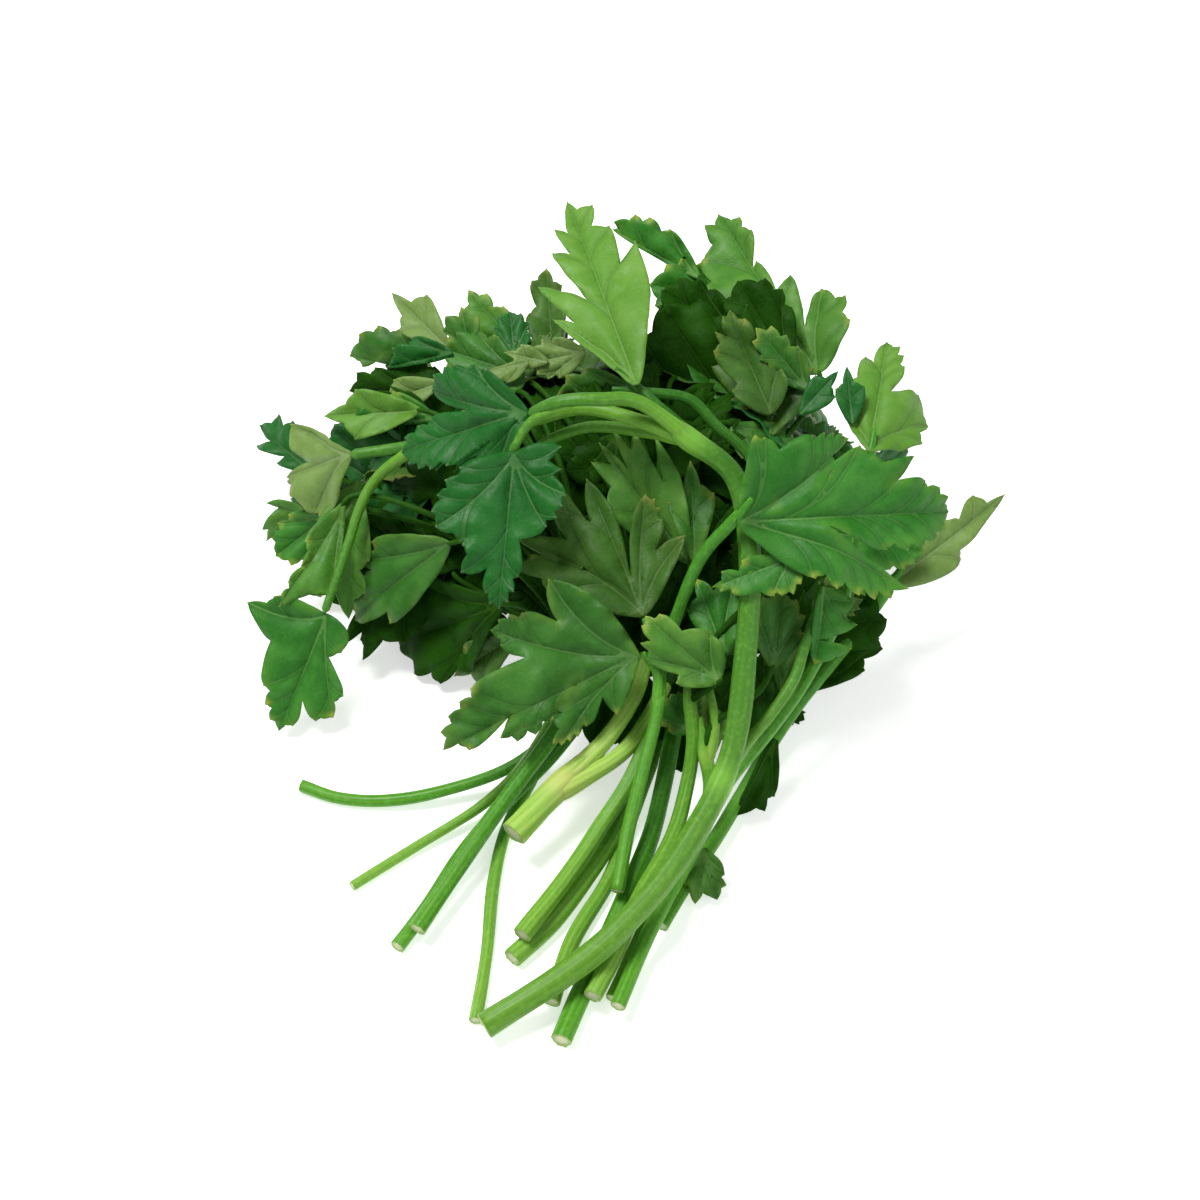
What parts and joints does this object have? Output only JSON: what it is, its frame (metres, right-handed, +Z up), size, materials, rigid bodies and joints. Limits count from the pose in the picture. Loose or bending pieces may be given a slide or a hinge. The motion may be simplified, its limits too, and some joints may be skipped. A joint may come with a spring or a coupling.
{
  "type": "parsley bunch",
  "caption": "Loose bunch of flat-leaf parsley lying on its side, with cut green stalks at one end and toothed lobed leaves heaped at the other.",
  "frame": {"origin": "middle of the bunch's footprint, on the surface that it lies on", "axes": "+Y from the cut ends of the stalks towards the leaves, +Z up from the surface, +X to the right seen from the cut ends"},
  "size_m": [0.1662, 0.1889, 0.0702],
  "materials": {
    "stalk_green": "smooth moist stalk",
    "leaf_green": "soft satin leaf"
  },
  "bodies": {
    "root": {"leaf_back_band": "leaf_green", "leaf_back_curled": "leaf_green", "leaf_back_dark": "leaf_green", "leaf_back_left": "leaf_green", "leaf_back_low": "leaf_green", "leaf_back_right": "leaf_green", "leaf_back_upright": "leaf_green", "leaf_beside_stem": "leaf_green", "leaf_big_right": "leaf_green", "leaf_blade": "leaf_green", "leaf_broad_front": "leaf_green", "leaf_comb": "leaf_green", "leaf_crest": "leaf_green", "leaf_crown": "leaf_green", "leaf_dark_lower": "leaf_green", "leaf_dark_upper": "leaf_green", "leaf_folded_right": "leaf_green", "leaf_hanging_left": "leaf_green", "leaf_ladder": "leaf_green", "leaf_left_blue": "leaf_green", "leaf_left_brown": "leaf_green", "leaf_left_dark": "leaf_green", "leaf_left_edge": "leaf_green", "leaf_left_far": "leaf_green", "leaf_left_folded": "leaf_green", "leaf_left_inner": "leaf_green", "leaf_left_pointed": "leaf_green", "leaf_left_small": "leaf_green", "leaf_left_underside": "leaf_green", "leaf_low_crumpled": "leaf_green", "leaf_low_curved": "leaf_green", "leaf_low_right": "leaf_green", "leaf_notched": "leaf_green", "leaf_olive": "leaf_green", "leaf_over_stem": "leaf_green", "leaf_pale_left": "leaf_green", "leaf_plume": "leaf_green", "leaf_slope_back": "leaf_green", "leaf_slope_far_left": "leaf_green", "leaf_slope_left": "leaf_green", "leaf_slope_right": "leaf_green", "leaf_top_pointed": "leaf_green", "stem_back_long": "stalk_green", "stem_back_short": "stalk_green", "stem_blunt": "stalk_green", "stem_far_left": "stalk_green", "stem_front_thin": "stalk_green", "stem_left_lower": "stalk_green", "stem_left_outer": "stalk_green", "stem_left_upper": "stalk_green", "stem_long_thin": "stalk_green", "stem_main": "stalk_green", "stem_middle_jointed": "stalk_green", "stem_middle_pale": "stalk_green", "stem_middle_slim": "stalk_green", "stem_middle_thick": "stalk_green", "stem_right": "stalk_green", "stem_right_low": "stalk_green", "stem_short_lower": "stalk_green", "stem_short_upper": "stalk_green"}
  },
  "joints": []
}
